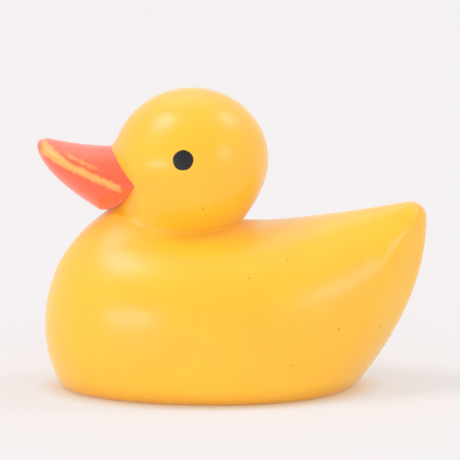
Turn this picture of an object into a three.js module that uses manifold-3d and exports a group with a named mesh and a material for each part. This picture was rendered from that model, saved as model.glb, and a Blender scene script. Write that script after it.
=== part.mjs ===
// Duck figure: one hollow moulded piece with a flat base.
// Millimetres, +Z up, bill towards -X, base on Z = 0, left and right alike about Y = 0.
//
// The outer skin is given as a half width over the side outline: for each point of the
// centre plane the body, the neck and the head each give a squared half width, and the
// largest one counts, eased where they meet. Rings run across the figure from the tail
// end to the crown, fanned round the nape. The bill is a solid of its own, joined on.

import * as THREE from "three";
import { mergeVertices } from "three/addons/utils/BufferGeometryUtils.js";
import Module from "manifold-3d";

// Tail and back, on the centre plane
const TAIL_X = 45.2; // tail end
const TAIL_Z = 39.8; // height of the tail end
const TAIL_SWEEP = 47.6; // radius of the rear line at the tail end
const TAIL_CORNER = 4.7; // rounding between the rear line and the back
const TAIL_EDGE = 3.5; // radius of the rear edge, seen from above
const TAIL_RIDGE = 2.6; // length at the tail end in which its ridge is level
const BACK_LOW_X = 7.7; // lowest place of the back
const BACK_LOW_Z = 39.0; // height of the back there
const BACK_RISE = 4.6; // rise of the back from there to the tail
const BACK_CURVE = 1.3; // power of that rise
const SHOULDER_RISE = 3.8; // rise of the body under the head
const SHOULDER_REACH = 40.0; // length over which the shoulder rises

// Body
const BREAST_X = -43.7; // foremost point of the breast
const BREAST_Z = 14.9; // height of that point
const BREAST_RADIUS = 30.4; // radius of the breast in the side view
const BREAST_DEPTH = 36.0; // length in which the breast rounds out to full width
const HALF_WIDTH = 25.5; // half of the greatest width
const TAPER_X = -2.3; // from here the body narrows to the tail
const WIDEST_Z = 15.3; // height of the widest line ahead of the tail
const WIDEST_CURVE = 2.6; // power with which that line climbs to the tail's ridge
const KEEL_DEPTH = 12.4; // depth below the base at which the belly would close
const KEEL_EASE = 4.0; // easing between the belly and the rear line
const SECTION_ABOVE = 2.5; // power of the section above the widest line
const SECTION_BELOW = 3.2; // and below it
const TAIL_ABOVE = 1.35; // the same two at the tail end, where the line is a ridge
const TAIL_BELOW = 1.2;
const BASE_EDGE = 1.6; // height at which the rounding of the base starts
const EDGE_LIMIT = 35.0; // degrees, most that the skin may face down there

// Head
const HEAD_X = -9.6;
const HEAD_Z = 53.5;
const HEAD_LONG = 18.0; // half length
const HEAD_TALL = 16.8; // half height
const HEAD_WIDE = 16.6; // half width
const HEAD_TILT = 6.0; // degrees, face down

// Face, a fullness of the head round the root of the bill
const FACE_X = -17.0;
const FACE_Z = 54.0;
const FACE_LONG = 11.7; // half length
const FACE_TALL = 8.0; // half height
const FACE_WIDE = 12.0; // half width
const FACE_BLEND = 3.0; // power with which it runs into the head

// Neck and throat, between body and head
const NECK_Z = 40.0;
const NECK_FRONT = -28.5; // front of the throat at that height
const NECK_REAR = 2.3; // nape at that height
const NECK_LEAN = 0.5; // way back of the throat for each millimetre of rise
const NAPE_LEAN = 0.45; // way back of the nape for each millimetre of rise
const NECK_TALL = 12.0; // half height, inside body and head
const NECK_WIDE = 11.5; // half width
const NECK_FLARE = 0.45; // growth of the half width for each millimetre of rise
const NECK_EASE = 40.0; // square millimetres over which body and neck ease together
const THROAT_EASE = 130.0; // the same at the throat
const THROAT_X = -4.0; // from here forward the easing widens
const THROAT_RUN = 26.0; // length in which it does
const HEAD_EASE = 80.0; // square millimetres over which neck and head ease together
const COLLAR_SAG = 2.3; // fall of the neck's crease between nape and throat

// Bill
const BILL_TIP_X = -45.2;
const BILL_TIP_Z = 56.8;
const BILL_ROOT_X = -21.0; // inside the head
const BILL_HALF_WIDTH = 11.0;
const BILL_ROUND = 20.0; // length from the tip to full width
const BILL_PLAN = 2.4; // power of the plan outline
const BILL_DROP = 2.9; // fall of the lower line one millimetre behind the tip
const BILL_DROP_CURVE = 0.61; // power of that fall
const BILL_CHIN = 14.6; // length from the tip to the lowest place of the lower line
const BILL_CORNER = 23.3; // length from the tip to the corner of the mouth, where the lower line ends
const BILL_JAW = 3.0; // power with which the lower line turns up to that corner
const BILL_LIP = 2.37; // rise of the upper line above the tip
const BILL_LIP_LENGTH = 3.0; // length of that rise
const BILL_TOP_ROOT = -0.15; // height of the upper line at the head, from the tip
const BILL_TOP_REACH = 17.0; // length from the tip to where the upper line runs level
const BILL_RIDGE_FALL = 0.43; // slope of the side ridge towards the head
const BILL_RIDGE_DEPTH = 8.0; // depth below the tip at which the ridge runs level
const BILL_RIDGE_EASE = 0.8; // easing into that level
const BILL_SECTION = 1.7; // roundness of the side ridge

// Shell
const WALL = 2.2;
const VENT_DIAMETER = 3.0; // moulding vent through the base
const VENT_X = -4.0;

// Rings and points
const OUTER_GRID = { tail: 14, heel: 10, toe: 14, breast: 17, head: 20, side: 20 };
const INNER_GRID = { tail: 7, heel: 6, toe: 8, breast: 8, head: 10, side: 11 };
const BILL_STATIONS = 22;
const BILL_SIDES = 28;
const EDGE_STEPS = 3;
const SLOPE_STEP = 0.05; // for slopes
const NAPE_CLEAR = 1.5; // the rings fan about a point this far behind the nape
const NAPE_RISE = 1.0; // and this far above the back
const SPINE = 12.0; // distance from there to the inside of the neck

const { abs, max, min, sqrt, sin, cos, asin, atan2, PI } = Math;
const clamp = THREE.MathUtils.clamp;
const lerp = THREE.MathUtils.lerp;
const smoothstep = THREE.MathUtils.smoothstep;

// Height of the back, and of the body's top line under the head.
function backLine(x) {
  const run = TAIL_X - TAIL_CORNER - BACK_LOW_X;
  const behind = max(x - BACK_LOW_X, 0);
  const ahead = max(BACK_LOW_X - x, 0);
  const over = clamp(x - (TAIL_X - TAIL_CORNER), 0, TAIL_CORNER);
  const rise = BACK_RISE * (behind / run) ** BACK_CURVE + SHOULDER_RISE * (ahead / SHOULDER_REACH) ** 2;
  return BACK_LOW_Z + rise - TAIL_CORNER + sqrt(TAIL_CORNER ** 2 - over ** 2);
}

// Height of the rear line, which runs on below the base as the line where the belly would close.
function underLine(x) {
  const rear = TAIL_Z - sqrt(max(2 * TAIL_SWEEP * (TAIL_X - x), 0));
  const gap = rear + KEEL_DEPTH;
  return -KEEL_DEPTH + (gap + sqrt(gap ** 2 + KEEL_EASE ** 2)) / 2;
}

// Front line of the breast at a height.
function breastLine(z) {
  const up = clamp(z - BREAST_Z, -BREAST_RADIUS, BREAST_RADIUS);
  return BREAST_X + BREAST_RADIUS - sqrt(BREAST_RADIUS ** 2 - up ** 2);
}

// Squared half width of the body at full section: full ahead of the taper, rounded at the tail end.
function planSquare(x, inset) {
  const half = HALF_WIDTH - inset;
  const reach = TAIL_X - inset - TAPER_X;
  const u = clamp((TAIL_X - inset - x) / reach, 0, 1);
  const nose = (2 * TAIL_EDGE * reach) / half ** 2;
  return half ** 2 * (nose * u * (1 - u) ** 2 + u * u * (3 - 2 * u));
}

// Squared half width of the body; less than zero outside its outline.
function bodySquare(x, z, inset) {
  if (x >= TAIL_X - inset) return TAIL_X - inset - x;
  const t = clamp(x / TAIL_X, 0, 1);
  const climb = clamp(x / (TAIL_X - TAIL_RIDGE), 0, 1);
  const widest = lerp(WIDEST_Z, TAIL_Z, climb ** WIDEST_CURVE);
  const above = z >= widest;
  const reach = above ? backLine(x) - inset - widest : widest - underLine(x) - inset;
  const power = above ? lerp(SECTION_ABOVE, TAIL_ABOVE, t * t) : lerp(SECTION_BELOW, TAIL_BELOW, t * t);
  const share = abs(z - widest) / max(reach, 0.001);
  const section = 1 - share ** power;
  const u = min((x - breastLine(z) - inset) / (BREAST_DEPTH - inset), 1);
  const front = 2 * u - u * abs(u);
  const both = section > 0 && front > 0 ? section * front : min(section, front);
  return planSquare(x, inset) * both;
}

// Squared half width of the ball of the head, a tilted ellipsoid.
function ballSquare(x, z, inset) {
  const tilt = THREE.MathUtils.degToRad(HEAD_TILT);
  const along = (x - HEAD_X) * cos(tilt) + (z - HEAD_Z) * sin(tilt);
  const across = (z - HEAD_Z) * cos(tilt) - (x - HEAD_X) * sin(tilt);
  const out = (along / (HEAD_LONG - inset)) ** 2 + (across / (HEAD_TALL - inset)) ** 2;
  return (HEAD_WIDE - inset) ** 2 * (1 - out);
}

// Squared half width of the face, an upright ellipsoid.
function faceSquare(x, z, inset) {
  const along = (x - FACE_X) / (FACE_LONG - inset);
  const up = (z - FACE_Z) / (FACE_TALL - inset);
  return (FACE_WIDE - inset) ** 2 * (1 - along ** 2 - up ** 2);
}

// Squared half width of the head: ball and face, added as powers where both are inside.
function headSquare(x, z, inset) {
  const ball = ballSquare(x, z, inset);
  const face = faceSquare(x, z, inset);
  if (ball <= 0 || face <= 0) return max(ball, face);
  return (ball ** FACE_BLEND + face ** FACE_BLEND) ** (1 / FACE_BLEND);
}

// Squared half width of the neck, an oval that widens upwards and ends inside body and head.
function neckSquare(x, z, inset) {
  const rise = clamp(z - NECK_Z, -NECK_TALL, NECK_TALL);
  const front = NECK_FRONT + inset + NECK_LEAN * rise;
  const rear = NECK_REAR - inset + NAPE_LEAN * rise;
  const wide = NECK_WIDE - inset + NECK_FLARE * rise;
  const along = (2 * x - front - rear) / (rear - front);
  const up = (z - NECK_Z) / (NECK_TALL - inset);
  return wide ** 2 * (1 - along ** 2 - up ** 4);
}

// The larger of two squared half widths, eased where they are near each other.
function easedMax(a, b, ease) {
  const near = max(ease - abs(a - b), 0) / ease;
  return max(a, b) + (near * near * ease) / 4;
}

// Squared half width of the figure without its bill.
function skinSquare(x, z, inset) {
  const upper = easedMax(neckSquare(x, z, inset), headSquare(x, z, inset), HEAD_EASE);
  const throat = 1 - smoothstep(x, THROAT_X - THROAT_RUN, THROAT_X);
  return easedMax(bodySquare(x, z, inset), upper, lerp(NECK_EASE, THROAT_EASE, throat));
}

// Last place inside, going from a point inside by a way that ends outside.
function lastInside(inside, from, way) {
  let low = 0;
  let high = 1;
  for (let i = 0; i < 40; i += 1) {
    const middle = (low + high) / 2;
    if (inside(from.x + way.x * middle, from.y + way.y * middle)) low = middle;
    else high = middle;
  }
  return new THREE.Vector2(from.x + way.x * low, from.y + way.y * low);
}

// Point in the corner of the nape and clear of the skin, about which the rings fan.
function napePivot(inset) {
  const z = BACK_LOW_Z - inset + NAPE_RISE;
  const solid = (px, pz) => skinSquare(px, pz, inset) > 0;
  const rear = new THREE.Vector2(HEAD_LONG + NAPE_CLEAR, 0);
  const nape = lastInside(solid, new THREE.Vector2(HEAD_X, z), rear);
  return nape.setX(nape.x + NAPE_CLEAR);
}

// Lines across the side outline, from tail end to crown, each with the ends of its cut.
function cutLines(inset, grid) {
  const solid = (x, z) => skinSquare(x, z, inset) > 0;
  const floor = inset + BASE_EDGE;
  const pivot = napePivot(inset);
  const tailEnd = TAIL_X - inset;
  const rearward = new THREE.Vector2(tailEnd - pivot.x, 0);
  const heel = lastInside((x) => underLine(x) + inset < floor, pivot, rearward).x;
  const toe = new THREE.Vector2(breastLine(floor) + inset, floor).sub(pivot);
  const toeTurn = atan2(-toe.x, -toe.y);
  const crown = HEAD_Z + HEAD_LONG;
  const lines = [];
  const add = (from, up, down, sag) => {
    lines.push([lastInside(solid, from, up), lastInside(solid, from, down), sag]);
  };
  const upright = (x) => {
    const spine = lerp(pivot.y - SPINE, TAIL_Z, (x - pivot.x) / (tailEnd - pivot.x));
    const top = max(pivot.y, backLine(x) + NAPE_CLEAR);
    add(new THREE.Vector2(x, spine), new THREE.Vector2(0, top - spine), new THREE.Vector2(0, -2 * TAIL_X), 0);
  };
  const fanned = (turn) => {
    const way = new THREE.Vector2(-sin(turn), -cos(turn));
    const from = pivot.clone().addScaledVector(way, SPINE);
    const sag = COLLAR_SAG * smoothstep(turn, toeTurn, PI / 2);
    add(from, way.clone().multiplyScalar(-SPINE), way.clone().multiplyScalar(2 * TAIL_X), sag);
  };
  const top = lastInside(solid, new THREE.Vector2(HEAD_X, HEAD_Z), new THREE.Vector2(0, crown - HEAD_Z)).y;
  const level = (z) => {
    const x = lerp(pivot.x - SPINE, HEAD_X, (z - pivot.y) / (top - pivot.y));
    const rear = new THREE.Vector2(HEAD_X + HEAD_LONG + NAPE_CLEAR - x, 0);
    const sag = COLLAR_SAG * (1 - smoothstep(z, pivot.y, HEAD_Z));
    add(new THREE.Vector2(x, z), rear, new THREE.Vector2(-2 * TAIL_X, 0), sag);
  };
  for (let i = 0; i < grid.tail; i += 1) upright(lerp(tailEnd, heel, (1 - cos((PI * i) / grid.tail)) / 2));
  const heelLine = lines.length;
  for (let i = 0; i < grid.heel; i += 1) upright(lerp(heel, pivot.x, 1 - cos((PI * i) / grid.heel / 2)));
  for (let i = 0; i < grid.toe; i += 1) fanned(toeTurn * sin((PI * i) / grid.toe / 2));
  const toeLine = lines.length;
  for (let i = 0; i < grid.breast; i += 1) fanned(lerp(toeTurn, PI / 2, sin((PI * i) / grid.breast / 2)));
  for (let i = 0; i <= grid.head; i += 1) level(lerp(pivot.y, top, (1 - cos((PI * i) / grid.head)) / 2));
  return { lines, heelLine, toeLine, floor };
}

// Angle by which the skin faces down at a point, from the slope of its squared half width.
function underTurn(point, inset) {
  const { x, y, z } = point;
  const along = skinSquare(x + SLOPE_STEP, z, inset) - skinSquare(x - SLOPE_STEP, z, inset);
  const upright = skinSquare(x, z + SLOPE_STEP, inset) - skinSquare(x, z - SLOPE_STEP, inset);
  const across = 4 * y * SLOPE_STEP;
  const limit = sin(THREE.MathUtils.degToRad(EDGE_LIMIT));
  return asin(clamp(upright / sqrt(along ** 2 + across ** 2 + upright ** 2), 0, limit));
}

// One side of each ring, from the back down to the base edge and round it. The rounding starts in
// line with the skin and turns to level.
function sideRings(inset, grid) {
  const { lines, heelLine, toeLine, floor } = cutLines(inset, grid);
  const rings = lines.map(([top, bottom, sag], i) => {
    const onBase = i > heelLine && i < toeLine;
    const end = onBase ? top.clone().lerp(bottom, (top.y - floor) / (top.y - bottom.y)) : bottom;
    const ring = [];
    for (let j = 0; j <= grid.side; j += 1) {
      const share = (1 - cos((PI * j) / grid.side)) / 2;
      const place = top.clone().lerp(end, share);
      place.y -= sag * sin(PI * share);
      const rim = j === 0 || (j === grid.side && !onBase);
      const half = rim ? 0 : sqrt(max(skinSquare(place.x, place.y, inset), 0));
      ring.push(new THREE.Vector3(place.x, half, place.y));
    }
    return ring;
  });
  const edge = rings.map((ring) => ring[grid.side]);
  rings.forEach((ring, i) => {
    const onBase = i > heelLine && i < toeLine;
    const run = onBase ? edge[i + 1].clone().sub(edge[i - 1]).setZ(0).normalize() : new THREE.Vector3();
    const out = new THREE.Vector3(run.y, -run.x, 0);
    const start = onBase ? underTurn(edge[i], inset) : 0;
    const radius = onBase ? BASE_EDGE / (1 - sin(start)) : 0;
    for (let k = 1; k <= EDGE_STEPS; k += 1) {
      const turn = lerp(start, PI / 2, k / EDGE_STEPS);
      const point = edge[i].clone().addScaledVector(out, -radius * (cos(start) - cos(turn)));
      point.z -= radius * (sin(turn) - sin(start));
      ring.push(point);
    }
  });
  return rings;
}

// Closed surface through rings of equal count, each closing on itself, with its faces outward.
function closedSurface(rings) {
  const count = rings[0].length;
  const places = rings.flat().flatMap((point) => [point.x, point.y, point.z]);
  const faces = [];
  const ends = [0, rings.length - 1];
  for (let i = 0; i + 1 < rings.length; i += 1) {
    for (let j = 0; j < count; j += 1) {
      const a = i * count + j;
      const b = i * count + ((j + 1) % count);
      faces.push([a, b, b + count], [a, b + count, a + count]);
    }
  }
  ends.forEach((end, side) => {
    for (let j = 1; j + 1 < count; j += 1) {
      const fan = [end * count, end * count + j, end * count + j + 1];
      faces.push(side ? fan : fan.reverse());
    }
  });
  const geometry = new THREE.BufferGeometry();
  geometry.setAttribute("position", new THREE.Float32BufferAttribute(places, 3));
  geometry.setIndex(faces.flat());
  return withoutSlivers(mergeVertices(geometry, 0.0005));
}

// The same surface without faces that have closed to a line, turned outward.
function withoutSlivers(geometry) {
  const index = geometry.getIndex();
  const position = geometry.getAttribute("position");
  const corner = (i) => new THREE.Vector3().fromBufferAttribute(position, i);
  const kept = [];
  let volume = 0;
  for (let i = 0; i < index.count; i += 3) {
    const [a, b, c] = [index.getX(i), index.getX(i + 1), index.getX(i + 2)];
    if (a === b || b === c || c === a) continue;
    kept.push([a, b, c]);
    volume += corner(a).dot(corner(b).cross(corner(c)));
  }
  geometry.setIndex(volume < 0 ? kept.map(([a, b, c]) => [a, c, b]).flat() : kept.flat());
  return geometry;
}

// Skin of the figure without its bill, moved in by an inset.
function skin(inset, grid) {
  const rings = sideRings(inset, grid).map((side) => {
    const other = side.slice(1).reverse().map((point) => new THREE.Vector3(point.x, -point.y, point.z));
    return [...side, ...other];
  });
  return closedSurface(rings);
}

// The bill: rounded lens sections from the tip to the root inside the head.
function bill() {
  const length = BILL_ROOT_X - BILL_TIP_X;
  const rings = [];
  for (let i = 0; i <= BILL_STATIONS; i += 1) {
    const back = length * (1 - cos((PI * i) / BILL_STATIONS / 2));
    const round = max(1 - back / BILL_ROUND, 0);
    const half = BILL_HALF_WIDTH * sqrt(1 - round ** BILL_PLAN);
    const lip = sqrt(1 - max(1 - back / BILL_LIP_LENGTH, 0) ** 2);
    const top = lip * lerp(BILL_TOP_ROOT, BILL_LIP, max(1 - back / BILL_TOP_REACH, 0) ** 2);
    const chin = clamp((back - BILL_CHIN) / (BILL_CORNER - BILL_CHIN), 0, 1);
    const fall = -BILL_DROP * min(back, BILL_CHIN) ** BILL_DROP_CURVE;
    const left = BILL_RIDGE_DEPTH - BILL_RIDGE_FALL * back;
    const eased = (left + sqrt(left ** 2 + BILL_RIDGE_EASE ** 2)) / 2;
    const ridge = clamp(eased - BILL_RIDGE_DEPTH, fall, top);
    const low = ridge + (fall - ridge) * (1 - chin ** BILL_JAW);
    const ring = [];
    for (let j = 0; j < BILL_SIDES; j += 1) {
      const turn = (2 * PI * j) / BILL_SIDES;
      const rise = abs(sin(turn)) ** (2 / BILL_SECTION);
      const reach = sin(turn) < 0 ? low - ridge : top - ridge;
      const place = new THREE.Vector3(BILL_TIP_X + back, half * cos(turn), BILL_TIP_Z + ridge + reach * rise);
      ring.push(place);
    }
    rings.push(ring);
  }
  return closedSurface(rings);
}

const wasm = await Module();
wasm.setup();

// A solid for joining and cutting, from a closed geometry.
function solidOf(geometry) {
  const vertProperties = new Float32Array(geometry.getAttribute("position").array);
  const triVerts = new Uint32Array(geometry.getIndex().array);
  return new wasm.Manifold(new wasm.Mesh({ numProp: 3, vertProperties, triVerts }));
}

// The vent's cutter, standing through the base.
function vent() {
  const cutter = new THREE.CylinderGeometry(VENT_DIAMETER / 2, VENT_DIAMETER / 2, 4 * WALL, 24);
  cutter.rotateX(PI / 2);
  cutter.translate(VENT_X, 0, 0);
  cutter.deleteAttribute("normal");
  cutter.deleteAttribute("uv");
  return mergeVertices(cutter, 0.0005);
}

const shell = solidOf(skin(0, OUTER_GRID))
  .add(solidOf(bill()))
  .subtract(solidOf(skin(WALL, INNER_GRID)))
  .subtract(solidOf(vent()));
const built = shell.getMesh();
const places = new Float32Array((built.vertProperties.length / built.numProp) * 3);
for (let i = 0; i < places.length; i += 1) {
  places[i] = built.vertProperties[((i / 3) | 0) * built.numProp + (i % 3)];
}
const geometry = new THREE.BufferGeometry();
geometry.setAttribute("position", new THREE.BufferAttribute(places, 3));
geometry.setIndex(Array.from(built.triVerts));
geometry.computeVertexNormals();

const vinyl = new THREE.MeshStandardMaterial({ name: "vinyl", color: 0xfec34b, roughness: 0.42 });
const duck = new THREE.Mesh(geometry, vinyl);
duck.name = "duck";

const group = new THREE.Group();
group.name = "duck_figure";
group.add(duck);

export default group;
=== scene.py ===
"""Vinyl duck figure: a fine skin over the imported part, its paint, and a plain studio.

Sizes are in millimetres and are turned to metres when a mesh is made. +Z is up, the bill points
towards -X, and the figure is alike on both sides of the plane Y = 0.
"""

from __future__ import annotations

import logging
import math
from collections.abc import Callable
from dataclasses import dataclass, field
from enum import Enum

import bpy
import numpy as np
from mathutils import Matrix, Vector

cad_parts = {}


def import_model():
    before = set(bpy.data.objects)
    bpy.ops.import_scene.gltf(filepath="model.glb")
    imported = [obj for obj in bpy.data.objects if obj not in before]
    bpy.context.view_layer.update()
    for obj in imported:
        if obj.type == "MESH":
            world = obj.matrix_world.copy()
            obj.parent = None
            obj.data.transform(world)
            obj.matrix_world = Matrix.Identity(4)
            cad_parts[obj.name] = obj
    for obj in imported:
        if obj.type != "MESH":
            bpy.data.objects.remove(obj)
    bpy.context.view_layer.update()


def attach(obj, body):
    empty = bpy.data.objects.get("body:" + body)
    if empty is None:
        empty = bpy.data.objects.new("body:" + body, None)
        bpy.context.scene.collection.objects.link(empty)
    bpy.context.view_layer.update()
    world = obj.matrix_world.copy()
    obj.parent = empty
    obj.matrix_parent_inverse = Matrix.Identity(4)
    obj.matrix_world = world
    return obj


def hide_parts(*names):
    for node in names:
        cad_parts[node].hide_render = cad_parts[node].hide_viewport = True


LOG = logging.getLogger("duck")
MM = 0.001
BODY_NAME = "root"
NODE_NAME = "duck"
CREASE = "crease"
WELD = 0.0002
HALVINGS = 40
TINY = 1e-9
THIN = 0.001

Colour = tuple[float, float, float]
Array = np.ndarray
Square = Callable[[Array, Array], Array]


class Cut(Enum):
    """How one closed mesh is worked into another."""

    JOIN = "UNION"
    TAKE_AWAY = "DIFFERENCE"


class Coat(Enum):
    """Material slots of the figure, in order."""

    VINYL = 0
    BILL = 1
    EYE = 2


def ease(low: float, high: float, value: Array) -> Array:
    """Smooth step: 0 at low, 1 at high, level at both ends."""
    share = np.clip((value - low) / (high - low), 0.0, 1.0)
    return share * share * (3.0 - 2.0 * share)


def blend(start: Array | float, end: Array | float, share: Array) -> Array:
    """Straight blend from start at 0 to end at 1."""
    return start + (end - start) * share


def last_inside(square: Square, start: Array, way: Array) -> Array:
    """Last points inside an outline on straight lines, found by halving.

    Args:
        square: function of x and z that is above zero inside.
        start: points inside, as rows of x and z.
        way: a step from each of them to a point outside.

    Returns:
        The points as rows of x and z.
    """
    low = np.zeros(len(start))
    high = np.ones(len(start))
    for _ in range(HALVINGS):
        middle = (low + high) / 2.0
        place = start + way * middle[:, None]
        inside = square(place[:, 0], place[:, 1]) > 0.0
        low = np.where(inside, middle, low)
        high = np.where(inside, high, middle)
    return start + way * low[:, None]


def closed_mesh(name: str, rings: Array, coat: Coat) -> bpy.types.Mesh:
    """Closed mesh through a grid of rings, each of which closes on itself.

    Neighbouring points of neighbouring rings make two triangles, and the first and last ring are
    closed by fans. Equal points are merged, triangles that have closed to a line are dropped, and
    the sign of the enclosed volume turns the faces outward.

    Args:
        name: name of the mesh.
        rings: points in millimetres, shaped rings by points by three.
        coat: material slot of every face.

    Returns:
        The mesh, in metres.
    """
    count, around = rings.shape[:2]
    ring, point = np.meshgrid(np.arange(count - 1), np.arange(around), indexing="ij")
    here = (ring * around + point).ravel()
    beside = (ring * around + (point + 1) % around).ravel()
    fan = np.arange(1, around - 1)
    hub = np.zeros_like(fan)
    first = np.stack([hub, fan + 1, fan], axis=1)
    last = np.stack([hub, fan, fan + 1], axis=1) + (count - 1) * around
    corners = np.concatenate(
        [
            np.stack([here, beside, beside + around], axis=1),
            np.stack([here, beside + around, here + around], axis=1),
            first,
            last,
        ]
    )
    points = rings.reshape(-1, 3)
    steps = np.round(points / WELD).astype(np.int64)
    _, kept, merged = np.unique(steps, axis=0, return_index=True, return_inverse=True)
    points = points[kept]
    corners = merged.reshape(-1)[corners]
    corners = corners[(corners != np.roll(corners, 1, axis=1)).all(axis=1)]
    a, b, c = (points[corners[:, k]] for k in range(3))
    if np.einsum("ij,ij->i", a, np.cross(b, c)).sum() < 0.0:
        corners = corners[:, ::-1]
    mesh = bpy.data.meshes.new(name)
    for _ in Coat:
        mesh.materials.append(None)
    mesh.vertices.add(len(points))
    mesh.vertices.foreach_set("co", (points * MM).astype(np.float32).ravel())
    mesh.loops.add(corners.size)
    mesh.loops.foreach_set("vertex_index", corners.astype(np.int32).ravel())
    mesh.polygons.add(len(corners))
    mesh.polygons.foreach_set("loop_start", np.arange(0, corners.size, 3, dtype=np.int32))
    mesh.polygons.foreach_set("material_index", np.full(len(corners), coat.value, dtype=np.int32))
    mesh.update(calc_edges=True)
    mesh.validate()
    return mesh


def placed(mesh: bpy.types.Mesh) -> bpy.types.Object:
    """New object at the origin that shows a mesh."""
    thing = bpy.data.objects.new(mesh.name, mesh)
    bpy.context.scene.collection.objects.link(thing)
    return thing


def worked(thing: bpy.types.Object, tool: bpy.types.Object, cut: Cut) -> None:
    """Joins a closed mesh to another, or takes it away, and deletes the tool.

    Args:
        thing: object whose mesh is replaced by the result.
        tool: object that is used up.
        cut: what is done.
    """
    modifier = thing.modifiers.new(cut.name, "BOOLEAN")
    modifier.operation = cut.value
    modifier.solver = "MANIFOLD"
    modifier.object = tool
    shown = thing.evaluated_get(bpy.context.evaluated_depsgraph_get())
    mesh = bpy.data.meshes.new_from_object(shown)
    before = thing.data
    thing.modifiers.clear()
    thing.data = mesh
    mesh.name = before.name + "_worked"
    bpy.data.meshes.remove(before)
    bpy.data.objects.remove(tool, do_unlink=True)


def smooth_faces(mesh: bpy.types.Mesh, limit: float) -> None:
    """Smooths a mesh but for edges at which two coats meet or the faces turn sharply.

    An edge carries the sums of its faces' slot numbers, of their squares and of their normals.
    Twice the second less the square of the first is the squared difference of the two numbers, and
    the squared length of the third is two plus twice the cosine of the angle between the faces.

    Args:
        mesh: the mesh.
        limit: angle between two faces from which their edge is sharp, in degrees.
    """
    count = len(mesh.edges)
    coats = np.empty(len(mesh.polygons), dtype=np.int32)
    sizes = np.empty(len(mesh.polygons), dtype=np.int32)
    normals = np.empty(len(mesh.polygons) * 3, dtype=np.float32)
    edges = np.empty(len(mesh.loops), dtype=np.int32)
    mesh.polygons.foreach_get("material_index", coats)
    mesh.polygons.foreach_get("loop_total", sizes)
    mesh.polygons.foreach_get("normal", normals)
    mesh.loops.foreach_get("edge_index", edges)
    number = np.repeat(coats, sizes)
    facing = np.repeat(normals.reshape(-1, 3), sizes, axis=0)
    first = np.bincount(edges, weights=number, minlength=count)
    second = np.bincount(edges, weights=number**2, minlength=count)
    length = sum(np.bincount(edges, weights=part, minlength=count) ** 2 for part in facing.T)
    turned = length < 2.0 + 2.0 * math.cos(math.radians(limit))
    mesh.polygons.foreach_set("use_smooth", np.ones(len(mesh.polygons), dtype=bool))
    mesh.edges.foreach_set("use_edge_sharp", (2.0 * second - first**2 > 0.5) | turned)
    mesh.update()


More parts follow.
